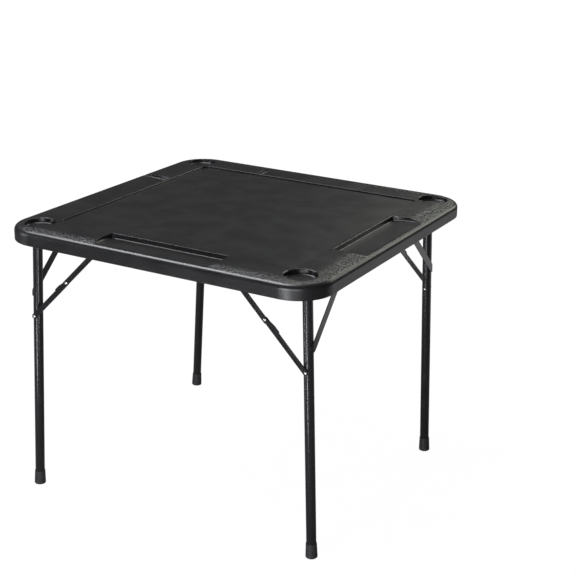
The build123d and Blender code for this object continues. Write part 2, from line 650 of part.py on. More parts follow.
def ear_plate(circle_x, radius, start_x, end_x, inner_y, hole_radius):
    """An upright ear under the top: a round end at a pivot, drawn out to a straight root."""
    plane = Plane(origin=(0, inner_y + BRACKET_THICKNESS, 0), x_dir=(1, 0, 0), z_dir=(0, -1, 0))
    round_end = Pos(circle_x, PIVOT_Z) * Circle(radius)
    root_height = BRACKET_THICKNESS
    root = Pos((start_x + end_x) / 2, RECESS_Z - root_height / 2) * Rectangle(end_x - start_x, root_height)
    outline = make_hull([*round_end.edges(), *root.edges()])
    outline -= Pos(circle_x, PIVOT_Z) * Circle(hole_radius)
    return plane.location * extrude(outline, BRACKET_THICKNESS)


def pivot_bracket():
    """The bracket at the back end of a crossbar: an ear for the pin and a screwed foot."""
    start_x = BRACKET_SCREW_X - BRACKET_FOOT_RADIUS
    end_x = PIVOT_X + BRACKET_EAR_RADIUS
    ear = ear_plate(PIVOT_X, BRACKET_EAR_RADIUS, start_x, end_x, BRACKET_Y, PIN_RADIUS + RUNNING_FIT)
    pad = Pos(BRACKET_SCREW_X, BRACKET_SCREW_Y) * Circle(BRACKET_FOOT_RADIUS)
    strip = Pos((start_x + end_x) / 2, BRACKET_Y + BRACKET_THICKNESS / 2) * Rectangle(
        end_x - start_x, BRACKET_THICKNESS)
    foot = make_hull([*pad.edges(), *strip.edges()])
    foot -= Pos(BRACKET_SCREW_X, BRACKET_SCREW_Y) * Circle(SCREW_RADIUS + HOLE_FIT)
    return ear + Pos(0, 0, RECESS_Z - BRACKET_THICKNESS) * extrude(foot, BRACKET_THICKNESS)


def brace_bracket(leg_y):
    """The bracket of a back brace: an ear for the upper link and a flange with two screws."""
    start_x = TOP_RIVET_X - EAR_FOOT_LENGTH / 2
    end_x = TOP_RIVET_X + EAR_FOOT_LENGTH / 2
    ear = ear_plate(TOP_RIVET_X, EAR_RADIUS, start_x, end_x, leg_y + EAR_FACE, RIVET_RADIUS + HOLE_FIT)
    width = BRACKET_THICKNESS + EAR_FLANGE_WIDTH
    flange = Pos(TOP_RIVET_X, leg_y + EAR_FACE + width / 2) * Rectangle(EAR_FOOT_LENGTH, width)
    for step in (-1, 1):
        screw_x = TOP_RIVET_X + step * EAR_SCREW_SPACING / 2
        screw_y = leg_y + EAR_OUTER + EAR_FLANGE_WIDTH / 2
        flange -= Pos(screw_x, screw_y) * Circle(SMALL_SCREW_RADIUS + HOLE_FIT)
    return ear + Pos(0, 0, RECESS_Z - STRIP_THICKNESS) * extrude(flange, STRIP_THICKNESS)


def top_rivet(leg_y):
    """The rivet that hangs the upper link of a back brace on its bracket."""
    inner = (TOP_RIVET_X, leg_y + UPPER_FACE, TOP_RIVET_Z)
    face = (TOP_RIVET_X, leg_y + EAR_OUTER, TOP_RIVET_Z)
    return rod(RIVET_RADIUS, inner, face) + dome(RIVET_HEAD_RADIUS, RIVET_HEAD_HEIGHT, face, (0, 1, 0))


def centre_bar():
    """A channel across the middle of the underside, with a flat tongue at each end."""
    whole_length = 2 * (PIVOT_X - TUBE_RADIUS)
    channel_length = whole_length - 2 * BAR_TONGUE_LENGTH
    web = Box(channel_length, BAR_WIDTH, STRIP_THICKNESS)
    tongue = Box(whole_length, BAR_TONGUE_WIDTH, STRIP_THICKNESS)
    bar = Pos(0, 0, RECESS_Z - STRIP_THICKNESS / 2) * (web + tongue)
    flange = Box(channel_length, STRIP_THICKNESS, BAR_DEPTH)
    for row in (-1, 1):
        bar += Pos(0, row * (BAR_WIDTH - STRIP_THICKNESS) / 2, RECESS_Z - BAR_DEPTH / 2) * flange
    for side in (-1, 1):
        hole = Pos(side * BRACKET_SCREW_X, 0) * Circle(SCREW_RADIUS + HOLE_FIT)
        bar -= Pos(0, 0, RECESS_Z - OVERRUN) * extrude(hole, 2 * OVERRUN)
    return bar


def crossbar_strap():
    """A strap under the middle of the crossbar, with a screwed tab on its inner side."""
    inner = TUBE_RADIUS + STRAP_FIT
    outer = inner + STRIP_THICKNESS
    tab_z = RECESS_Z - STRIP_THICKNESS
    ring = Circle(outer) - Circle(inner)
    ring &= Pos(0, -outer / 2) * Rectangle(2 * outer, outer)
    inner_rise = tab_z - PIVOT_Z
    outer_rise = RECESS_Z - PIVOT_Z
    middle = (inner + outer) / 2
    profile = ring + Pos(-middle, inner_rise / 2) * Rectangle(STRIP_THICKNESS, inner_rise)
    profile += Pos(middle, outer_rise / 2) * Rectangle(STRIP_THICKNESS, outer_rise)
    tab_start = BRACKET_SCREW_X - PIVOT_X - STRAP_TAB_LENGTH / 2
    tab_length = -middle - tab_start
    profile += Pos(tab_start + tab_length / 2, inner_rise - STRIP_THICKNESS / 2) * Rectangle(
        tab_length, STRIP_THICKNESS)
    plane = Plane(origin=(PIVOT_X, STRAP_WIDTH / 2, PIVOT_Z), x_dir=(1, 0, 0), z_dir=(0, -1, 0))
    strap = plane.location * extrude(profile, STRAP_WIDTH)
    return strap - rod(SCREW_RADIUS + HOLE_FIT, (BRACKET_SCREW_X, 0, tab_z - OVERRUN),
                       (BRACKET_SCREW_X, 0, RECESS_Z))


def screw(radius, head_radius, head_height, x, y, seat_z):
    """A pan-head screw driven upwards, its head seated at seat_z."""
    shank = rod(radius, (x, y, seat_z), (x, y, RECESS_Z + SCREW_BITE))
    return shank + dome(head_radius, head_height, (x, y, seat_z), (0, 0, -1))


def large_screws():
    """The six large screws, each seated on what it holds."""
    corners, middles = screw_places()
    corner_seat = RECESS_Z - BRACKET_THICKNESS
    middle_seat = RECESS_Z - 2 * STRIP_THICKNESS
    size = (SCREW_RADIUS, SCREW_HEAD_RADIUS, SCREW_HEAD_HEIGHT)
    return ([screw(*size, x, y, corner_seat) for x, y in corners],
            [screw(*size, x, y, middle_seat) for x, y in middles])


def small_screws():
    """The screws in the flanges of the brace brackets."""
    size = (SMALL_SCREW_RADIUS, SMALL_SCREW_HEAD_RADIUS, SMALL_SCREW_HEAD_HEIGHT)
    seat = RECESS_Z - STRIP_THICKNESS
    return [screw(*size, x, y, seat) for x, y in small_screw_places()]


def save(name, *shapes):
    """Write one sub-part, or a group of like pieces, under its name."""
    solids = [solid for shape in shapes for solid in shape.solids()]
    whole = solids[0] if len(solids) == 1 else Compound(children=solids)
    export_step(whole, f"parts/{name}.step")


def save_frame(side_name, side, leg_y):
    """Write the pieces of one leg frame, its braces and its brackets."""
    save(f"{side_name}_crossbar", to_side(crossbar(), side))
    pins = [to_row(to_side(pivot_pin(), side), row) for row in (-1, 1)]
    save(f"{side_name}_pivot_pins", *pins)
    makers = {
        "leg": leg_tube,
        "foot_cap": foot_cap,
        "gusset": gusset,
        "lower_link": lower_link,
        "upper_link": upper_link,
        "knee_rivet": knee_rivet,
        "knee_tail": knee_tail,
        "brace_bracket": brace_bracket,
    }
    for row_name, row in (("front", -1), ("back", 1)):
        for piece, maker in makers.items():
            save(f"{side_name}_{row_name}_{piece}", to_row(to_side(maker(leg_y), side), row))
        save(f"{side_name}_{row_name}_pivot_bracket", to_row(to_side(pivot_bracket(), side), row))
    save(f"{side_name}_leg_rivets", *[to_row(to_side(leg_rivet(leg_y), side), row) for row in (-1, 1)])
    save(f"{side_name}_spacers", *[to_row(to_side(spacer(leg_y), side), row) for row in (-1, 1)])
    save(f"{side_name}_crossbar_strap", to_side(crossbar_strap(), side))


os.makedirs("parts", exist_ok=True)
save("tabletop_upper_skin", upper_skin())
save("tabletop_lower_skin", lower_skin())
save("centre_bar", centre_bar())
corner_screws, middle_screws = large_screws()
save("pivot_bracket_screws", *corner_screws)
save("centre_bar_screws", *middle_screws)
save("brace_bracket_screws", *small_screws())
top_rivets = []
for side_name, side, leg_y in (("left", -1, WIDE_FRAME_LEG_Y), ("right", 1, NARROW_FRAME_LEG_Y)):
    save_frame(side_name, side, leg_y)
    top_rivets += [to_row(to_side(top_rivet(leg_y), side), row) for row in (-1, 1)]
save("brace_top_rivets", *top_rivets)
print(f"brace: lower link {LOWER_LINK:.2f}, upper link {UPPER_LINK:.2f}, knee {KNEE_X:.2f}, {KNEE_Z:.2f}")
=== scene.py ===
"""Looks of the folding card table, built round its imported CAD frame.

Metres, +Z up. The origin is on the floor under the middle of the top, X runs from the left
leg frame to the right one and Y from front to back. The CAD nodes keep their shapes and get
their finishes here. Weld beads and screw heads are new pieces.
"""

import json
import logging
import math
from dataclasses import dataclass
from enum import Enum

import bmesh
import bpy
import numpy as np
from mathutils import Matrix, Vector

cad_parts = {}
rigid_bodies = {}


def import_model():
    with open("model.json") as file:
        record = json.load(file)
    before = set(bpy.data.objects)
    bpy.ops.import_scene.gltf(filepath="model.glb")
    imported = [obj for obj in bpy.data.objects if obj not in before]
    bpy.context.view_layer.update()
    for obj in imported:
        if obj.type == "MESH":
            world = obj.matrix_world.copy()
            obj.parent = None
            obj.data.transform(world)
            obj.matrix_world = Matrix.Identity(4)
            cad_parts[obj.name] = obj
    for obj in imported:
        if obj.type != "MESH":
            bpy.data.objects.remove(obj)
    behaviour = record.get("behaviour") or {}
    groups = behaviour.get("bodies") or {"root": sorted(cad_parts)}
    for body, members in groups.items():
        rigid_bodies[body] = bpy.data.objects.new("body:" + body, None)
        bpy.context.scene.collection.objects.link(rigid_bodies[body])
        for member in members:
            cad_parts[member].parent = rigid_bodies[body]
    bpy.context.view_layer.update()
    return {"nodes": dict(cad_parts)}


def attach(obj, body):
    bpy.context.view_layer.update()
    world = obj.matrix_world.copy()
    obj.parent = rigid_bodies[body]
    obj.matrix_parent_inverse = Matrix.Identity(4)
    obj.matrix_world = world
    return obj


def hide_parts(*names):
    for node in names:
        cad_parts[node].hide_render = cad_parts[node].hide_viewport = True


LOG = logging.getLogger("card_table")
MM = 0.001
FULL_TURN = 2 * math.pi

Point = tuple[float, float, float]
Socket = bpy.types.NodeSocket
Node = bpy.types.Node
Tree = bpy.types.NodeTree

# Sizes of the table that the patterns and new pieces follow, in metres
TOP_Z = 711 * MM
HALF_TOP = 432 * MM
HALF_FIELD = 330 * MM
RECESS_Z = 695.5 * MM
PIVOT_X = 362 * MM
PIVOT_Z = 680 * MM
TUBE_RADIUS = 12 * MM
SPLAY = math.radians(2.5)
WIDE_LEG_Y = 373.6 * MM
NARROW_LEG_Y = 330.6 * MM

# Points of a new piece that lie nearer than this are one point
SAME_POINT = 0.001 * MM

# Settings that many nodes share
COLOURS = {"data_type": "RGBA"}
TIMES = {"operation": "MULTIPLY"}
TIMES_PLUS = {"operation": "MULTIPLY_ADD"}
LARGER = {"operation": "MAXIMUM"}


def linear(hex_code: str) -> tuple[float, float, float, float]:
    """Turn an sRGB hex colour into linear light.

    A channel c up to 0.04045 becomes c / 12.92, and a brighter one ((c + 0.055) / 1.055)^2.4.

    Args:
        hex_code: Six hex digits with a leading hash.

    Returns:
        Linear red, green and blue, and an alpha of one.
    """
    parts = [int(hex_code[i:i + 2], 16) / 255 for i in (1, 3, 5)]
    light = [c / 12.92 if c <= 0.04045 else ((c + 0.055) / 1.055) ** 2.4 for c in parts]
    return light[0], light[1], light[2], 1.0


def add_node(tree: Tree, kind: str, settings: dict | None = None, links: dict | None = None) -> Node:
    """Add a node to a tree, set it and link its inputs.

    Args:
        tree: The node tree that gets the node.
        kind: The node's type name.
        settings: Input values and node settings by name; a number names an input by place.
        links: What feeds the inputs, by their names or places: a socket, or a node, which
            stands for its first output.

    Returns:
        The new node.
    """
    node = tree.nodes.new(kind)
    for name, value in (settings or {}).items():
        if isinstance(name, int) or name in node.inputs:
            node.inputs[name].default_value = value
        else:
            setattr(node, name, value)
    for name, source in (links or {}).items():
        socket = source.outputs[0] if isinstance(source, Node) else source
        tree.links.new(socket, node.inputs[name])
    return node


def start_material(name: str) -> tuple[bpy.types.Material, Tree, Socket]:
    """Start a material with an empty tree.

    Args:
        name: The material's name.

    Returns:
        The material, its tree, and the socket of its object coordinates.
    """
    material = bpy.data.materials.new(name)
    material.use_nodes = True
    tree = material.node_tree
    tree.nodes.clear()
    return material, tree, add_node(tree, "ShaderNodeTexCoord").outputs["Object"]


def end_material(material: bpy.types.Material, constants: dict[str, float],
                 patterns: dict[str, Node | Socket]) -> bpy.types.Material:
    """End a material with its principled shader.

    Args:
        material: The material, with the nodes of its patterns.
        constants: Values that are the same all over, set on the shader's own sockets.
        patterns: What feeds the shader's other inputs.

    Returns:
        The finished material.
    """
    surface = add_node(material.node_tree, "ShaderNodeBsdfPrincipled", constants, patterns)
    add_node(material.node_tree, "ShaderNodeOutputMaterial", links={"Surface": surface})
    return material


class Slot(Enum):
    """The record's material slots."""

    TOP = "hdpe_top"
    UNDERSIDE = "hdpe_underside"
    POWDER = "powder_coat"
    ZINC = "zinc"
    PIN = "pin_steel"
    BLACK_SCREW = "black_screw"
    CAP = "rubber_cap"


class Side(Enum):
    """The two leg frames: the sign of their X, and how far out their legs stand."""

    LEFT = (-1, WIDE_LEG_Y)
    RIGHT = (1, NARROW_LEG_Y)

    @property
    def sign(self) -> int:
        """The sign of the frame's X."""
        return self.value[0]

    @property
    def leg_y(self) -> float:
        """Distance of the frame's legs from the middle, along Y."""
        return self.value[1]

    @property
    def word(self) -> str:
        """The word for this side in node names."""
        return self.name.lower()


class Row(Enum):
    """The front and back legs of a frame: the sign of their Y."""

    FRONT = -1
    BACK = 1

    @property
    def word(self) -> str:
        """The word for this row in node names."""
        return self.name.lower()


@dataclass(frozen=True)
class Cloud:
    """A cloudy pattern: its lumps' size in metres, its octaves, and how strong each one is."""

    size: float
    octaves: float = 2.0
    strength: float = 0.5

    @property
    def settings(self) -> dict:
        """The pattern as a noise node's settings."""
        return {"Scale": 1 / self.size, "Detail": self.octaves, "Roughness": self.strength}


@dataclass(frozen=True)
class Rise:
    """A smooth rise: where it starts and is full, and what it rises from and to."""

    start: float
    full: float
    low: float = 0.0
    high: float = 1.0

    @property
    def settings(self) -> dict:
        """The rise as a map node's settings."""
        return {"interpolation_type": "SMOOTHSTEP", 1: self.start, 2: self.full, 3: self.low, 4: self.high}


@dataclass(frozen=True)
class MouldedTop:
    """High-density polyethylene, blow moulded in a grained mould.

    The field and the tray floors come satin off a plain part of the mould. The rim band is
    grained with fine pebbles that catch the light as a speckle, and the apron is grained more
    softly. The grain of the real mould is about 1.5 mm; it is drawn 3.2 mm, as coarse as it
    needs to be to show.
    """

    dark: str = "#161617"
    light: str = "#1d1d1e"
    lightens: Rise = Rise(0.35, 0.65)
    ior: float = 1.54
    # roughness of the satin field and of the grained band
    satin: float = 0.31
    grained: float = 0.28
    flow: Cloud = Cloud(70 * MM, 3.0, 0.55)
    flow_dulls: float = 0.10
    fine: Cloud = Cloud(0.9 * MM, 2.0, 0.6)
    fine_dulls: float = 0.06
    fine_height: float = 0.012 * MM
    waves: Cloud = Cloud(42 * MM, 1.0)
    waves_height: float = 0.06 * MM
    grain: float = 3.2 * MM
    grain_height: float = 1.3 * MM
    apron_grain: float = 2.2 * MM
    apron_height: float = 0.16 * MM
    pebble_round: float = 0.6
    edge_samples: int = 8
    # zones, outwards from the middle or in height; the first gives the edges' radius
    edges_out: Rise = Rise(HALF_FIELD + 5 * MM, HALF_FIELD + 8 * MM, 0.0, 1.2 * MM)
    band_out: Rise = Rise(HALF_FIELD + 0.5 * MM, HALF_FIELD + 2.5 * MM)
    band_up: Rise = Rise(TOP_Z - 5.4 * MM, TOP_Z - 4.2 * MM)
    slope_out: Rise = Rise(HALF_TOP - 55 * MM, HALF_TOP - 25 * MM, 0.04, 1.0)
    apron_out: Rise = Rise(HALF_TOP - 12 * MM, HALF_TOP - 6 * MM)
    apron_down: Rise = Rise(TOP_Z - 11 * MM, TOP_Z - 15 * MM)

    def zones(self, tree: Tree, coords: Socket) -> tuple[Node, Node, Node, Node]:
        """Mark the zones of the moulding.

        How far out a point lies is the larger of its distances from the middle along X and
        Y. The step round the field is crisp, and the edges of trays and rim are rounded. The
        band lies outside the field and above the floors of trays and cups. Its grain is worn
        shallow towards the field and full along the crown's outer slope. The apron lies at
        the very edge, below the shoulder.

        Args:
            tree: The material's tree.
            coords: Its object coordinates.

        Returns:
            The radius of the edges, and the shares of band, slope and apron.
        """
        place = add_node(tree, "ShaderNodeVectorMath", {"operation": "ABSOLUTE"}, {0: coords})
        x, y, z = add_node(tree, "ShaderNodeSeparateXYZ", links={0: place}).outputs
        out = add_node(tree, "ShaderNodeMath", LARGER, {0: x, 1: y})
        radius, outside, above, outer, edge, below = (
            add_node(tree, "ShaderNodeMapRange", rise.settings, {0: value})
            for value, rise in ((out, self.edges_out), (out, self.band_out), (z, self.band_up),
                                (out, self.slope_out), (out, self.apron_out), (z, self.apron_down)))
        band = add_node(tree, "ShaderNodeMath", TIMES, {0: outside, 1: above})
        slope = add_node(tree, "ShaderNodeMath", TIMES, {0: band, 1: outer})
        apron = add_node(tree, "ShaderNodeMath", TIMES, {0: edge, 1: below})
        return radius, band, slope, apron

    def build(self) -> bpy.types.Material:
        """Make the material.

        Returns:
            The finished material.
        """
        material, tree, coords = start_material("Blow_moulded_HDPE_grained")
        radius, band, slope, apron = self.zones(tree, coords)
        flow, fine, waves = (add_node(tree, "ShaderNodeTexNoise", cloud.settings, {"Vector": coords})
                             for cloud in (self.flow, self.fine, self.waves))
        share = add_node(tree, "ShaderNodeMapRange", self.lightens.settings, {0: flow})
        colour = add_node(tree, "ShaderNodeMix", {**COLOURS, 6: linear(self.dark), 7: linear(self.light)},
                          {0: share})
        # the flow and the fine grain take the gloss as far up as down, so half of each comes off first
        level = self.satin - (self.flow_dulls + self.fine_dulls) / 2
        rough = add_node(tree, "ShaderNodeMath", {**TIMES_PLUS, 1: self.grained - self.satin, 2: level},
                         {0: band})
        for pattern, dulls in ((flow, self.flow_dulls), (fine, self.fine_dulls)):
            rough = add_node(tree, "ShaderNodeMath", {**TIMES_PLUS, 1: dulls}, {0: pattern, 2: rough})
        normal = add_node(tree, "ShaderNodeBevel", {"samples": self.edge_samples}, {"Radius": radius})
        for size, zone, height in ((self.grain, slope, self.grain_height),
                                   (self.apron_grain, apron, self.apron_height)):
            cells = add_node(tree, "ShaderNodeTexVoronoi",
                             {"feature": "SMOOTH_F1", "Scale": 1 / size, "Smoothness": self.pebble_round},
                             {"Vector": coords})
            pebbles = add_node(tree, "ShaderNodeMath", {"operation": "SUBTRACT", 0: 1.0}, {1: cells})
            zoned = add_node(tree, "ShaderNodeMath", TIMES, {0: pebbles, 1: zone})
            normal = add_node(tree, "ShaderNodeBump", {"Distance": height},
                              {"Height": zoned, "Normal": normal})
        for pattern, height in ((fine, self.fine_height), (waves, self.waves_height)):
            normal = add_node(tree, "ShaderNodeBump", {"Distance": height},
                              {"Height": pattern, "Normal": normal})
        return end_material(material, {"IOR": self.ior},
                            {"Base Color": colour.outputs[2], "Roughness": rough, "Normal": normal})


@dataclass(frozen=True)
class MouldedUnderside:
    """The same polyethylene from the plain half of the mould.

    It is a little greyer and matt, with the faint orange peel of plastic that cooled against
    a sandblasted face.
    """

    dark: str = "#141415"
    light: str = "#202021"
    lightens: Rise = Rise(0.3, 0.7)
    ior: float = 1.54
    matt: float = 0.42
    flow: Cloud = Cloud(55 * MM, 3.0)
    flow_dulls: float = 0.16
    peel: Cloud = Cloud(2.4 * MM)
    peel_height: float = 0.12 * MM
    pits: Cloud = Cloud(0.8 * MM)
    pits_height: float = 0.03 * MM

    def build(self) -> bpy.types.Material:
        """Make the material.

        Returns:
            The finished material.
        """
        material, tree, coords = start_material("Blow_moulded_HDPE_plain")
        flow, peel, pits = (add_node(tree, "ShaderNodeTexNoise", cloud.settings, {"Vector": coords})
                            for cloud in (self.flow, self.peel, self.pits))
        share = add_node(tree, "ShaderNodeMapRange", self.lightens.settings, {0: flow})
        colour = add_node(tree, "ShaderNodeMix", {**COLOURS, 6: linear(self.dark), 7: linear(self.light)},
                          {0: share})
        rough = add_node(tree, "ShaderNodeMath", {**TIMES_PLUS, 1: self.flow_dulls, 2: self.matt}, {0: flow})
        peeled = add_node(tree, "ShaderNodeBump", {"Distance": self.peel_height}, {"Height": peel})
        pitted = add_node(tree, "ShaderNodeBump", {"Distance": self.pits_height},
                          {"Height": pits, "Normal": peeled})
        return end_material(material, {"IOR": self.ior},
                            {"Base Color": colour.outputs[2], "Roughness": rough, "Normal": pitted})


@dataclass(frozen=True)
class PowderCoat:
    """Gloss black polyester powder, baked on steel tube and strip.

    It flows out smooth and bright, with the slight orange peel of powder and a dull bloom
    where hands and folding have rubbed it.
    """

    dark: str = "#18181a"
    worn: str = "#202022"
    ior: float = 1.52
    gloss: float = 0.22
    bloom: Cloud = Cloud(45 * MM, 3.0, 0.6)
    rubbed: Rise = Rise(0.52, 0.74)
    rubbed_dulls: float = 0.07
    peel: Cloud = Cloud(5.0 * MM, 1.0, 0.4)
    peel_height: float = 0.015 * MM
    coat: float = 0.25
    coat_rough: float = 0.12

    def build(self) -> bpy.types.Material:
        """Make the material.

        Returns:
            The finished material.
        """
        material, tree, coords = start_material("Powder_coated_steel_gloss_black")
        bloom, peel = (add_node(tree, "ShaderNodeTexNoise", cloud.settings, {"Vector": coords})
                       for cloud in (self.bloom, self.peel))
        rub = add_node(tree, "ShaderNodeMapRange", self.rubbed.settings, {0: bloom})
        colour = add_node(tree, "ShaderNodeMix", {**COLOURS, 6: linear(self.dark), 7: linear(self.worn)},
                          {0: rub})
        rough = add_node(tree, "ShaderNodeMath", {**TIMES_PLUS, 1: self.rubbed_dulls, 2: self.gloss},
                         {0: rub})
        normal = add_node(tree, "ShaderNodeBump", {"Distance": self.peel_height}, {"Height": peel})
        constants = {"IOR": self.ior, "Coat Weight": self.coat, "Coat Roughness": self.coat_rough}
        return end_material(material, constants,
                            {"Base Color": colour.outputs[2], "Roughness": rough, "Normal": normal})


@dataclass(frozen=True)
class ZincPlate:
    """Cold-headed steel with zinc plate.

    It is bright and faintly grey-blue, with a fine grain and dull patches in the plating.
    """

    name: str = "Zinc_plated_steel_bright"
    pale: str = "#d2d3d0"
    dull: str = "#a6a8a6"
    rough: float = 0.24
    patches: Cloud = Cloud(2.5 * MM, 3.0, 0.6)
    greys: Rise = Rise(0.35, 0.7)
    patches_dull: float = 0.14
    grain: Cloud = Cloud(0.5 * MM, 2.0, 0.6)
    grain_height: float = 0.02 * MM

    def build(self) -> bpy.types.Material:
        """Make the material.

        Returns:
            The finished material.
        """
        material, tree, coords = start_material(self.name)
        patches, grain = (add_node(tree, "ShaderNodeTexNoise", cloud.settings, {"Vector": coords})
                          for cloud in (self.patches, self.grain))
        share = add_node(tree, "ShaderNodeMapRange", self.greys.settings, {0: patches})
        colour = add_node(tree, "ShaderNodeMix", {**COLOURS, 6: linear(self.pale), 7: linear(self.dull)},
                          {0: share})
        rough = add_node(tree, "ShaderNodeMath", {**TIMES_PLUS, 1: self.patches_dull, 2: self.rough},
                         {0: patches})
        normal = add_node(tree, "ShaderNodeBump", {"Distance": self.grain_height}, {"Height": grain})
        return end_material(material, {"Metallic": 1.0},
                            {"Base Color": colour.outputs[2], "Roughness": rough, "Normal": normal})


@dataclass(frozen=True)
class MouldedCap:
    """Low-density polyethylene, injection moulded.

    It is satin black with a very fine spark-eroded grain, and scuffed grey towards the sole.
    """

    dark: str = "#303032"
    scuffed: str = "#3a3a3b"
    ior: float = 1.51
    satin: float = 0.42
    scuffs: Cloud = Cloud(4 * MM, 4.0, 0.7)
    scuffs_spread: Rise = Rise(0.42, 0.6)
    scuffs_down: Rise = Rise(9 * MM, 0.5 * MM)
    scuffs_dull: float = 0.25
    grain: Cloud = Cloud(1.1 * MM, 2.0, 0.6)
    grain_height: float = 0.06 * MM

    def build(self) -> bpy.types.Material:
        """Make the material.

        Returns:
            The finished material.
        """
        material, tree, coords = start_material("Moulded_LDPE_cap_satin")
        height = add_node(tree, "ShaderNodeSeparateXYZ", links={0: coords}).outputs["Z"]
        scuffs, grain = (add_node(tree, "ShaderNodeTexNoise", cloud.settings, {"Vector": coords})
                         for cloud in (self.scuffs, self.grain))
        low, patches = (add_node(tree, "ShaderNodeMapRange", rise.settings, {0: value})
                        for value, rise in ((height, self.scuffs_down), (scuffs, self.scuffs_spread)))
        scuff = add_node(tree, "ShaderNodeMath", TIMES, {0: low, 1: patches})
        colour = add_node(tree, "ShaderNodeMix", {**COLOURS, 6: linear(self.dark), 7: linear(self.scuffed)},
                          {0: scuff})
        rough = add_node(tree, "ShaderNodeMath", {**TIMES_PLUS, 1: self.scuffs_dull, 2: self.satin},
                         {0: scuff})
        normal = add_node(tree, "ShaderNodeBump", {"Distance": self.grain_height}, {"Height": grain})
        return end_material(material, {"IOR": self.ior},
                            {"Base Color": colour.outputs[2], "Roughness": rough, "Normal": normal})


class Finishes:
    """Every finish of the table by the record's slots, and the CAD nodes that take them."""

    def __init__(self, nodes: dict[str, bpy.types.Object]) -> None:
        """Build the materials once.

        Args:
            nodes: The frame's CAD nodes by name.
        """
        self.nodes = nodes
        self.made = {
            Slot.TOP: MouldedTop().build(),
            Slot.UNDERSIDE: MouldedUnderside().build(),
            Slot.POWDER: PowderCoat().build(),
            Slot.ZINC: ZincPlate().build(),
            Slot.PIN: ZincPlate("Zinc_plated_steel_dull", "#8b8c8a", "#5e5f5e", 0.38).build(),
            Slot.BLACK_SCREW: ZincPlate("Black_zinc_plated_steel", "#2a2a2b", "#171718", 0.32).build(),
            Slot.CAP: MouldedCap().build(),
        }

    def dress(self, obj: bpy.types.Object, slot: Slot) -> None:
        """Give an object one finish in its material slots.

        Args:
            obj: The new piece or CAD node.
            slot: The record's slot whose finish it takes.
        """
        if not obj.data.materials:
            obj.data.materials.append(self.made[slot])
        for i in range(len(obj.data.materials)):
            obj.data.materials[i] = self.made[slot]
        LOG.info("%s is dressed in %s", obj.name, self.made[slot].name)

    def dress_nodes(self, slot: Slot, *names: str) -> None:
        """Give each of the named CAD nodes one finish."""
        for name in names:
            self.dress(self.nodes[name], slot)


def mesh_of_grids(name: str, grids: list[np.ndarray], rows_close: bool) -> bpy.types.Mesh:
    """Make one smooth mesh from several grids of points.

    The points (i, j), (i + 1, j), (i + 1, j + 1) and (i, j + 1) of a grid make a face, and
    its last column joins its first. Points that coincide, as at a pole, are made one.

    Args:
        name: The mesh's name.
        grids: Arrays of rows by columns by three coordinates.
        rows_close: Whether the last row of each grid joins its first as well.

    Returns:
        The mesh.
    """
    points, faces, start = [], [], 0
    for grid in grids:
        rows, columns = grid.shape[:2]
        i, j = np.meshgrid(np.arange(rows if rows_close else rows - 1), np.arange(columns), indexing="ij")
        i2, j2 = (i + 1) % rows, (j + 1) % columns
        quads = np.stack([i * columns + j, i2 * columns + j, i2 * columns + j2, i * columns + j2], -1)
        faces.append(start + quads.reshape(-1, 4))
        points.append(grid.reshape(-1, 3))
        start += rows * columns
    mesh = bpy.data.meshes.new(name)
    mesh.from_pydata(np.concatenate(points), [], np.concatenate(faces))
    mesh.polygons.foreach_set("use_smooth", np.ones(len(mesh.polygons), bool))
    form = bmesh.new()
    form.from_mesh(mesh)
    bmesh.ops.remove_doubles(form, verts=form.verts, dist=SAME_POINT)
    form.to_mesh(mesh)
    form.free()
    return mesh


def new_piece(mesh: bpy.types.Mesh, body: str, finishes: Finishes, slot: Slot) -> bpy.types.Object:
    """Put a mesh in the scene as a piece of the table.

    Args:
        mesh: The finished mesh, with its place in its points.
        body: The CAD body it rides on.
        finishes: The table's finishes.
        slot: The record's slot it takes its finish from.

    Returns:
        The piece.
    """
    obj = bpy.data.objects.new(mesh.name, mesh)
    bpy.context.scene.collection.objects.link(obj)
    finishes.dress(obj, slot)
    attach(obj, body)
    LOG.info("piece %s rides on %s, %d faces", obj.name, body, len(mesh.polygons))
    return obj


def ring_along(path: np.ndarray, radius: np.ndarray, sides: int) -> np.ndarray:
    """Carry a circle round a closed path.

    At each point two directions square to the path's tangent are taken, and the section is
    point + radius x (cos a x first + sin a x second), for a from nought to a full turn.

    Args:
        path: The points of the path, one a row.
        radius: The section's radius at each point.
        sides: How many points go round the section.

    Returns:
        A grid of points, rows along the path and columns round it.
    """
    tangent = np.roll(path, -1, 0) - np.roll(path, 1, 0)
    tangent /= np.linalg.norm(tangent, axis=1, keepdims=True)
    # any direction will do that no stretch of the path runs along
    guide = np.array([0.13, 0.29, 0.95])
    first = np.cross(tangent, guide)
    first /= np.linalg.norm(first, axis=1, keepdims=True)
    second = np.cross(tangent, first)
    a = np.linspace(0, FULL_TURN, sides, endpoint=False)[None, :, None]
    ring = np.cos(a) * first[:, None, :] + np.sin(a) * second[:, None, :]
    return path[:, None, :] + radius[:, None, None] * ring


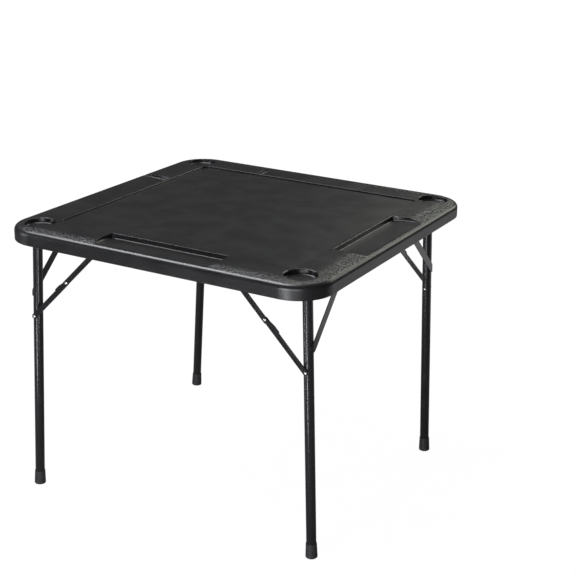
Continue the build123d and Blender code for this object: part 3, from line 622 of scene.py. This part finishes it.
@dataclass(frozen=True)
class PanHead:
    """A screw's pan head with a cross recess, whose slots are sized in shares of the head."""

    radius: float
    height: float
    slot_half: float = 0.16
    slot_wall: float = 0.07
    slot_reach: float = 0.62
    slot_end: float = 0.12
    slot_depth: float = 0.6
    columns: int = 48

    def surface(self, place: tuple[float, float], seat: float, turn: float) -> np.ndarray:
        """Work out the head, hanging under its seat.

        On rings of radius r from the middle to the rim, the crown's drop is
        height x sqrt(1 - (r / radius)^4). Inside two crossed slots the surface is sunk by
        slot_depth x height x (3 s^2 - 2 s^3), where s goes from nought at the slot's edge to
        one at the foot of its walls and ends.

        Args:
            place: The head's middle along X and Y.
            seat: The level it is seated at.
            turn: How far the cross is turned, in radians.

        Returns:
            A grid of points, from the crown's middle over the rim to the seat's middle.
        """
        # the rings lie closer near the rim, where the crown falls away
        share = np.concatenate([np.linspace(0, 0.9, 19), np.linspace(0.92, 1, 6)])
        angle = np.linspace(0, FULL_TURN, self.columns, endpoint=False)
        r, a = np.meshgrid(share, angle, indexing="ij")
        drop = self.height * np.sqrt(np.clip(1 - r ** 4, 0, 1))
        u, v = r * np.cos(a - turn), r * np.sin(a - turn)
        slots = [np.clip((self.slot_half - np.abs(aside)) / self.slot_wall, 0, 1)
                 * np.clip((self.slot_reach - np.abs(along)) / self.slot_end, 0, 1)
                 for along, aside in ((u, v), (v, u))]
        s = np.maximum(slots[0], slots[1])
        level = seat - drop + self.slot_depth * self.height * s * s * (3 - 2 * s)
        x, y = place
        crown = np.stack([x + self.radius * r * np.cos(a), y + self.radius * r * np.sin(a), level], -1)
        under = np.broadcast_to(np.array([x, y, seat]), (1, self.columns, 3))
        return np.concatenate([crown, under])[:, ::-1]


@dataclass
class Tabletop:
    """The blow-moulded top with its brackets, bars, straps and fasteners."""

    finishes: Finishes
    body: str = "tabletop"
    large: PanHead = PanHead(4.5 * MM, 2.6 * MM)
    small: PanHead = PanHead(3.4 * MM, 1.8 * MM)
    first_turn: float = 0.7
    next_turn: float = 1.9
    screw_x: float = 343 * MM
    screw_y: float = 404 * MM
    flange_x: float = 168 * MM
    flange_past_leg: float = 26.9 * MM
    flange_half_pitch: float = 15 * MM
    # levels of the seats, under the sheet that each kind of screw holds
    pivot_seat: float = RECESS_Z - 2 * MM
    bar_seat: float = RECESS_Z - 3 * MM
    flange_seat: float = RECESS_Z - 1.5 * MM

    def dress(self) -> None:
        """Give the skins, bars, brackets and rivets their finishes."""
        self.finishes.dress_nodes(Slot.TOP, "tabletop_upper_skin")
        self.finishes.dress_nodes(Slot.UNDERSIDE, "tabletop_lower_skin")
        self.finishes.dress_nodes(Slot.POWDER, "centre_bar")
        self.finishes.dress_nodes(Slot.ZINC, "brace_top_rivets")
        for side in Side:
            self.finishes.dress_nodes(Slot.POWDER, f"{side.word}_crossbar_strap")
            for row in Row:
                name = f"{side.word}_{row.word}"
                self.finishes.dress_nodes(Slot.POWDER, f"{name}_pivot_bracket", f"{name}_brace_bracket")

    def screw_heads(self) -> None:
        """Replace the plain CAD screws with heads that have a cross recess."""
        pivots = [(side.sign * self.screw_x, row.value * self.screw_y) for side in Side for row in Row]
        bars = [(side.sign * self.screw_x, 0.0) for side in Side]
        flanges = [(side.sign * (self.flange_x + step), row.value * (side.leg_y + self.flange_past_leg))
                   for side in Side for row in Row
                   for step in (-self.flange_half_pitch, self.flange_half_pitch)]
        for node, places, seat, head, slot in (
                ("pivot_bracket_screws", pivots, self.pivot_seat, self.large, Slot.ZINC),
                ("centre_bar_screws", bars, self.bar_seat, self.large, Slot.ZINC),
                ("brace_bracket_screws", flanges, self.flange_seat, self.small, Slot.BLACK_SCREW)):
            grids = [head.surface(place, seat, self.first_turn + self.next_turn * i)
                     for i, place in enumerate(places)]
            mesh = mesh_of_grids(f"{node}_heads", grids, False)
            piece = new_piece(mesh, self.body, self.finishes, slot)
            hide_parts(node)

    def build(self) -> None:
        """Dress the CAD nodes and add the new pieces."""
        self.dress()
        self.screw_heads()


@dataclass
class LegFrame:
    """One tubular leg frame with its caps, gussets, pins, rivets and welds."""

    side: Side
    finishes: Finishes
    bead: float = 1.9 * MM
    ripple: float = 1.6 * MM
    swell: float = 0.1
    crest: float = 0.012
    rows: int = 360
    columns: int = 10

    def dress(self) -> None:
        """Give the frame's CAD nodes their finishes."""
        word = self.side.word
        self.finishes.dress_nodes(Slot.POWDER, f"{word}_crossbar")
        self.finishes.dress_nodes(Slot.PIN, f"{word}_pivot_pins")
        self.finishes.dress_nodes(Slot.ZINC, f"{word}_leg_rivets", f"{word}_spacers")
        for row in Row:
            name = f"{word}_{row.word}"
            self.finishes.dress_nodes(Slot.POWDER, f"{name}_leg", f"{name}_gusset")
            self.finishes.dress_nodes(Slot.CAP, f"{name}_foot_cap")

    def splay(self, points: np.ndarray) -> np.ndarray:
        """Turn points of an upright frame out by the splay and hang them on the pivot.

        In the plane of X and Z the point is turned by the splay's angle, then moved to the
        pivot, and its X takes the sign of the side.

        Args:
            points: Points about the pivot, with the leg hanging straight down.

        Returns:
            The same points in the table's frame.
        """
        x = points[..., 0] * math.cos(SPLAY) - points[..., 2] * math.sin(SPLAY)
        z = points[..., 0] * math.sin(SPLAY) + points[..., 2] * math.cos(SPLAY)
        return np.stack([self.side.sign * (PIVOT_X + x), points[..., 1], PIVOT_Z + z], -1)

    def weld_bead(self, row: Row) -> np.ndarray:
        """Work out the fillet weld where a leg meets its crossbar.

        The bead runs where two like tubes cross square: at the angle t round the leg, the
        point (R cos t, y + R sin t, -R |sin t|). The bend of |sin t| at nought is rounded
        to sqrt(sin^2 t + crest) - sqrt(crest), so that the bead doesn't turn sharply. Its
        radius swells and narrows by a share of itself with each ripple of the weld.

        Args:
            row: The leg's row.

        Returns:
            A grid of points that closes both ways.
        """
        t = np.linspace(0, FULL_TURN, self.rows, endpoint=False)
        drop = np.sqrt(np.sin(t) ** 2 + self.crest) - math.sqrt(self.crest)
        y = row.value * self.side.leg_y + TUBE_RADIUS * np.sin(t)
        path = np.stack([TUBE_RADIUS * np.cos(t), y, -TUBE_RADIUS * drop], -1)
        length = np.cumsum(np.linalg.norm(np.roll(path, -1, 0) - path, axis=1))
        ripples = round(length[-1] / self.ripple)
        radius = self.bead * (1 + self.swell * np.cos(FULL_TURN * ripples * length / length[-1]))
        grid = self.splay(ring_along(path, radius, self.columns))
        return grid if self.side is Side.LEFT else grid[:, ::-1]

    def welds(self) -> None:
        """Add both weld beads of the frame as one piece."""
        grids = [self.weld_bead(row) for row in Row]
        mesh = mesh_of_grids(f"{self.side.word}_leg_welds", grids, True)
        new_piece(mesh, f"{self.side.word}_leg_frame", self.finishes, Slot.POWDER)

    def build(self) -> None:
        """Dress the CAD nodes and add the welds."""
        self.dress()
        self.welds()


@dataclass
class Brace:
    """One folding brace: two pressed links and the two halves of the knee rivet."""

    side: Side
    row: Row
    finishes: Finishes

    def build(self) -> None:
        """Give the links and the knee rivet their finishes."""
        name = f"{self.side.word}_{self.row.word}"
        self.finishes.dress_nodes(Slot.POWDER, f"{name}_lower_link", f"{name}_upper_link")
        self.finishes.dress_nodes(Slot.ZINC, f"{name}_knee_rivet", f"{name}_knee_tail")


@dataclass(frozen=True)
class SoftBox:
    """A flat studio lamp: its width and height, and how many times brighter than white it is."""

    name: str
    place: Point
    width: float
    height: float
    glow: float
    aim: Point = (0.0, 0.0, 0.6)
    tint: str = "#f9faff"

    def build(self) -> None:
        """Hang the lamp and turn it to its aim."""
        lamp = bpy.data.lights.new(self.name, "AREA")
        lamp.shape = "RECTANGLE"
        lamp.size = self.width
        lamp.size_y = self.height
        lamp.energy = self.glow * math.pi * self.width * self.height
        lamp.color = linear(self.tint)[:3]
        obj = bpy.data.objects.new(self.name, lamp)
        obj.location = self.place
        line = Vector(self.aim) - Vector(self.place)
        obj.rotation_euler = line.to_track_quat("-Z", "Y").to_euler()
        obj.visible_camera = False
        bpy.context.scene.collection.objects.link(obj)


@dataclass(frozen=True)
class Studio:
    """The floor, the light and the camera."""

    white: str = "#ffffff"
    back_tint: str = "#fbfff2"
    floor_half: float = 30.0
    floor_colour: str = "#707070"
    floor_seen: float = 0.8
    floor_mirrored: float = 0.065
    floor_white: Rise = Rise(0.8, 4.5, 1.23, 1.29)
    sky_mirrored: float = 0.02
    dim: float = 0.06
    camera_place: Point = (1.63574, -2.72284, 1.63229)
    camera_yaw: float = -0.5051
    camera_pitch: float = 0.3415
    camera_roll: float = -0.0207
    focal_pixels: float = 1302.16
    picture: float = 576.0
    sensor: float = 36.0

    def seen(self, tree: Tree, camera: float, mirrored: float) -> Node:
        """Work out how far a surface shows as plain white background.

        Args:
            tree: The material's or world's tree.
            camera: The share for the camera's own rays.
            mirrored: The share for rays off glossy surfaces and through clear ones.

        Returns:
            The share's node, nought for every other ray.
        """
        ray = add_node(tree, "ShaderNodeLightPath").outputs
        glossy = add_node(tree, "ShaderNodeMath", LARGER,
                          {0: ray["Is Glossy Ray"], 1: ray["Is Transmission Ray"]})
        weighed = add_node(tree, "ShaderNodeMath", {**TIMES, 1: mirrored}, {0: glossy})
        return add_node(tree, "ShaderNodeMath", {**TIMES_PLUS, 1: camera},
                        {0: ray["Is Camera Ray"], 2: weighed})

    def floor(self) -> None:
        """Lay a plain white floor that keeps a faint shadow of the table."""
        half = self.floor_half
        mesh = bpy.data.meshes.new("floor")
        mesh.from_pydata([(-half, -half, 0), (half, -half, 0), (half, half, 0), (-half, half, 0)], [],
                         [(0, 1, 2, 3)])
        material, tree, coords = start_material("White_studio_floor")
        matt = add_node(tree, "ShaderNodeBsdfDiffuse", {"Color": linear(self.floor_colour)})
        # the lamps reach the floor near the table, so its own white rises away from there
        distance = add_node(tree, "ShaderNodeVectorMath", {"operation": "LENGTH"}, {0: coords})
        white = add_node(tree, "ShaderNodeMapRange", self.floor_white.settings,
                         {0: distance.outputs["Value"]})
        glow = add_node(tree, "ShaderNodeEmission", {"Color": linear(self.white)}, {"Strength": white})
        seen = self.seen(tree, self.floor_seen, self.floor_mirrored)
        mix = add_node(tree, "ShaderNodeMixShader", links={0: seen, 1: matt, 2: glow})
        add_node(tree, "ShaderNodeOutputMaterial", links={"Surface": mix})
        mesh.materials.append(material)
        obj = bpy.data.objects.new("floor", mesh)
        bpy.context.scene.collection.objects.link(obj)

    def world(self) -> None:
        """Set up a dim world that the camera sees as white."""
        world = bpy.data.worlds.new("studio")
        bpy.context.scene.world = world
        world.use_nodes = True
        tree = world.node_tree
        tree.nodes.clear()
        seen = self.seen(tree, 1 - self.dim, self.sky_mirrored)
        strength = add_node(tree, "ShaderNodeMath", {"operation": "ADD", 1: self.dim}, {0: seen})
        background = add_node(tree, "ShaderNodeBackground", {"Color": linear(self.white)},
                              {"Strength": strength})
        add_node(tree, "ShaderNodeOutputWorld", links={"Surface": background})

    def lamps(self) -> None:
        """Hang the lamps, the strips that draw the legs' highlights last."""
        tint = self.back_tint
        for lamp in (SoftBox("overhead_softbox", (-0.85, -0.1, 2.6), 1.1, 1.7, 10.0),
                     SoftBox("left_softbox", (-2.5, -1.9, 0.95), 0.7, 1.8, 4.0),
                     SoftBox("back_softbox", (-0.2, 2.9, 2.65), 1.3, 0.7, 5.5, tint=tint),
                     SoftBox("back_right_softbox", (1.2, 2.7, 1.85), 1.2, 1.3, 2.6, tint=tint),
                     SoftBox("corner_softbox", (-0.65, 1.95, 3.05), 0.45, 0.5, 5.0, tint=tint),
                     SoftBox("floor_card", (1.6, 2.1, 0.02), 1.4, 2.2, 0.5, (1.6, 2.1, 1.0)),
                     SoftBox("front_softbox", (0.9, -2.9, 0.65), 2.2, 1.2, 4.2),
                     SoftBox("front_strip", (0.15, -2.0, 0.55), 0.2, 0.7, 24.0, (0.35, -0.4, 0.45)),
                     SoftBox("right_leg_strip", (0.33, -1.05, 0.2), 0.07, 0.36, 18.0, (0.36, -0.4, 0.3)),
                     SoftBox("left_leg_strip", (-0.4, -1.0, 0.13), 0.07, 0.22, 16.0, (-0.38, -0.4, 0.2))):
            lamp.build()

    def camera(self) -> None:
        """Stand the camera where the photograph was taken from.

        Its forward direction comes from yaw and pitch, its right lies level before the roll,
        and the roll turns right and down about forward.
        """
        yaw, pitch, roll = self.camera_yaw, self.camera_pitch, self.camera_roll
        forward = Vector((math.sin(yaw) * math.cos(pitch), math.cos(yaw) * math.cos(pitch), -math.sin(pitch)))
        level = Vector((math.cos(yaw), -math.sin(yaw), 0))
        plumb = forward.cross(level)
        right = math.cos(roll) * level + math.sin(roll) * plumb
        down = -math.sin(roll) * level + math.cos(roll) * plumb
        turn = Matrix((right, -down, -forward)).transposed().to_4x4()
        data = bpy.data.cameras.new("camera")
        data.sensor_width = self.sensor
        data.lens = self.focal_pixels / self.picture * self.sensor
        obj = bpy.data.objects.new("camera", data)
        obj.matrix_world = Matrix.Translation(self.camera_place) @ turn
        bpy.context.scene.collection.objects.link(obj)
        bpy.context.scene.camera = obj

    def build(self) -> None:
        """Set up the whole studio."""
        self.floor()
        self.world()
        self.lamps()
        self.camera()
        bpy.context.scene.view_settings.view_transform = "Standard"


def main() -> None:
    """Load the frame and build each sub-assembly."""
    logging.basicConfig(level=logging.INFO, format="%(name)s: %(message)s")
    for obj in list(bpy.data.objects):
        bpy.data.objects.remove(obj)
    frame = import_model()
    finishes = Finishes(frame["nodes"])
    Tabletop(finishes).build()
    for side in Side:
        LegFrame(side, finishes).build()
        for row in Row:
            Brace(side, row, finishes).build()
    Studio().build()


if __name__ == "__main__":
    main()
